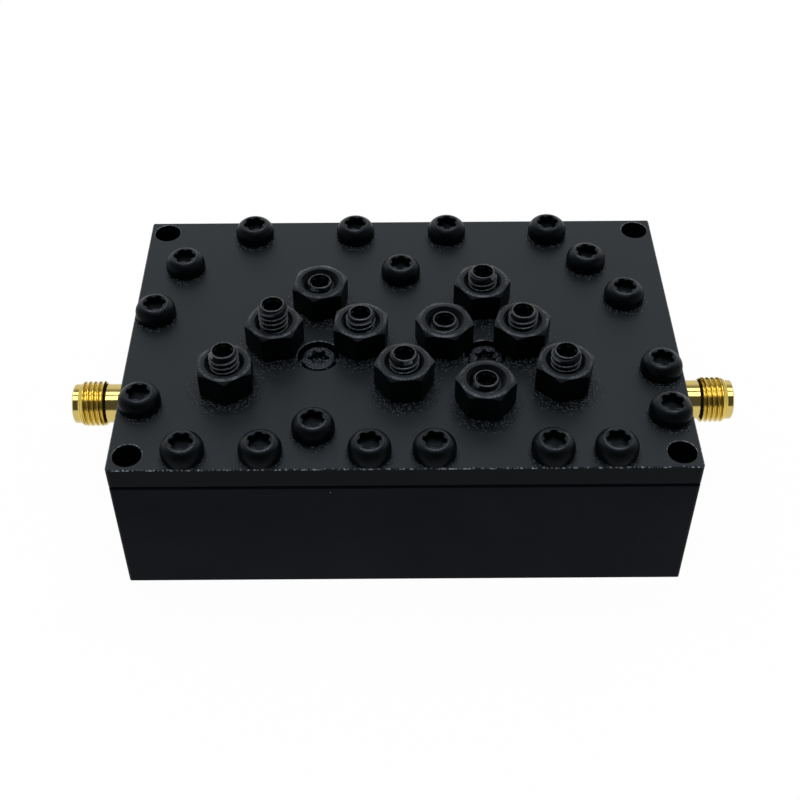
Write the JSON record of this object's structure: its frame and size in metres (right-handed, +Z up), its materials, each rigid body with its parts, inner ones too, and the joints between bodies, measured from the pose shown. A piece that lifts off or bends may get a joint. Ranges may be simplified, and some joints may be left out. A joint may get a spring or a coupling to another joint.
{
  "type": "cavity filter",
  "caption": "Black-painted coaxial cavity filter: milled box with screwed lid, tuning screws in hexagon lock nuts, corner mounting holes and a gold threaded jack on each short side.",
  "frame": {"origin": "centre of the underside", "axes": "+X towards the right jack, +Y to the back, +Z up out of the lid"},
  "size_m": [0.0922, 0.05, 0.03],
  "materials": {
    "painted_aluminium": "sprayed black paint, satin",
    "painted_steel": "sprayed black paint over steel",
    "painted_brass": "sprayed black paint over brass",
    "silvered_aluminium": "silver plated",
    "bare_steel": "plain steel",
    "gold_plated_brass": "bright gold plate",
    "white_insulator": "white fluoropolymer",
    "tinned_copper": "tinned copper wire"
  },
  "bodies": {
    "filter_body": {"housing": "painted_aluminium", "lid": "painted_aluminium", "lid_screws": "painted_steel", "web_screws": "painted_steel", "lock_nuts": "painted_brass", "resonator_1": "silvered_aluminium", "resonator_2": "silvered_aluminium", "resonator_3": "silvered_aluminium", "resonator_4": "silvered_aluminium", "resonator_5": "silvered_aluminium", "resonator_screws": "bare_steel", "left_jack_shell": "gold_plated_brass", "left_jack_insulator": "white_insulator", "left_jack_contact": "gold_plated_brass", "left_tap_wire": "tinned_copper", "right_jack_shell": "gold_plated_brass", "right_jack_insulator": "white_insulator", "right_jack_contact": "gold_plated_brass", "right_tap_wire": "tinned_copper"},
    "resonator_tuner_1": {"resonator_tuner_1": "painted_brass"},
    "resonator_tuner_2": {"resonator_tuner_2": "painted_brass"},
    "resonator_tuner_3": {"resonator_tuner_3": "painted_brass"},
    "resonator_tuner_4": {"resonator_tuner_4": "painted_brass"},
    "resonator_tuner_5": {"resonator_tuner_5": "painted_brass"},
    "coupling_tuner_1": {"coupling_tuner_1": "painted_brass"},
    "coupling_tuner_2": {"coupling_tuner_2": "painted_brass"},
    "coupling_tuner_3": {"coupling_tuner_3": "painted_brass"},
    "coupling_tuner_4": {"coupling_tuner_4": "painted_brass"},
    "cross_tuner": {"cross_tuner": "painted_brass"}
  },
  "joints": [
    {"name": "resonator_tuner_1_travel", "type": "slide", "parent": "filter_body", "child": "resonator_tuner_1", "axis": [0, 0, 1], "range_m": [-0.0028, 0.0018]},
    {"name": "resonator_tuner_2_travel", "type": "slide", "parent": "filter_body", "child": "resonator_tuner_2", "axis": [0, 0, 1], "range_m": [-0.0007, 0.0039]},
    {"name": "resonator_tuner_3_travel", "type": "slide", "parent": "filter_body", "child": "resonator_tuner_3", "axis": [0, 0, 1], "range_m": [-0.0021, 0.0025]},
    {"name": "resonator_tuner_4_travel", "type": "slide", "parent": "filter_body", "child": "resonator_tuner_4", "axis": [0, 0, 1], "range_m": [-0.0023, 0.0023]},
    {"name": "resonator_tuner_5_travel", "type": "slide", "parent": "filter_body", "child": "resonator_tuner_5", "axis": [0, 0, 1], "range_m": [-0.0024, 0.0022]},
    {"name": "coupling_tuner_1_travel", "type": "slide", "parent": "filter_body", "child": "coupling_tuner_1", "axis": [0, 0, 1], "range_m": [-0.0036, 0.001]},
    {"name": "coupling_tuner_2_travel", "type": "slide", "parent": "filter_body", "child": "coupling_tuner_2", "axis": [0, 0, 1], "range_m": [-0.002, 0.0026]},
    {"name": "coupling_tuner_3_travel", "type": "slide", "parent": "filter_body", "child": "coupling_tuner_3", "axis": [0, 0, 1], "range_m": [-0.0007, 0.0039]},
    {"name": "coupling_tuner_4_travel", "type": "slide", "parent": "filter_body", "child": "coupling_tuner_4", "axis": [0, 0, 1], "range_m": [-0.0022, 0.0024]},
    {"name": "cross_tuner_travel", "type": "slide", "parent": "filter_body", "child": "cross_tuner", "axis": [0, 0, 1], "range_m": [-0.0007, 0.0039]}
  ]
}
